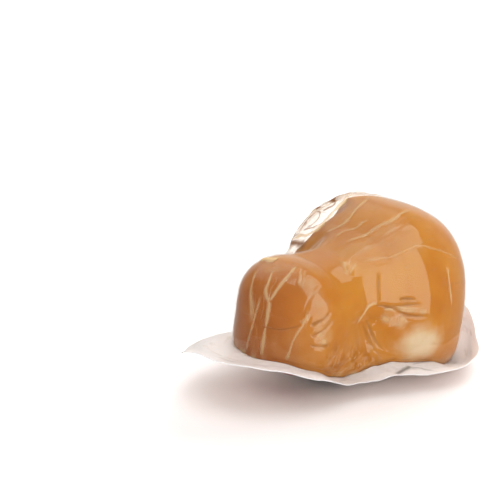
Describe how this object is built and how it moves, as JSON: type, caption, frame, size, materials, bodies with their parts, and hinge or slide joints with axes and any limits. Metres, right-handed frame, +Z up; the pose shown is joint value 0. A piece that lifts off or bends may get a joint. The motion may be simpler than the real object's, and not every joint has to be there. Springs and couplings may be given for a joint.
{
  "type": "smoked scamorza",
  "caption": "Pear-shaped smoked scamorza cheese, skin-packed in clear film on a white lid film with a wavy sealed rim, lying on its rounded underside.",
  "frame": {"origin": "on the table, under the middle of the pack's bounding box", "axes": "+Z up from the table, -X towards the small head of the pear, +X towards its large body, -Y towards the shown side"},
  "size_m": [0.1302, 0.0901, 0.0631],
  "materials": {
    "smoked_cheese_in_film": "amber brown smoked rind, seen through tight, glossy clear film",
    "white_lid_film": "soft satin white plastic film, printed underneath"
  },
  "bodies": {
    "root": {"cheese_in_film": "smoked_cheese_in_film", "lid_film": "white_lid_film"}
  },
  "joints": []
}
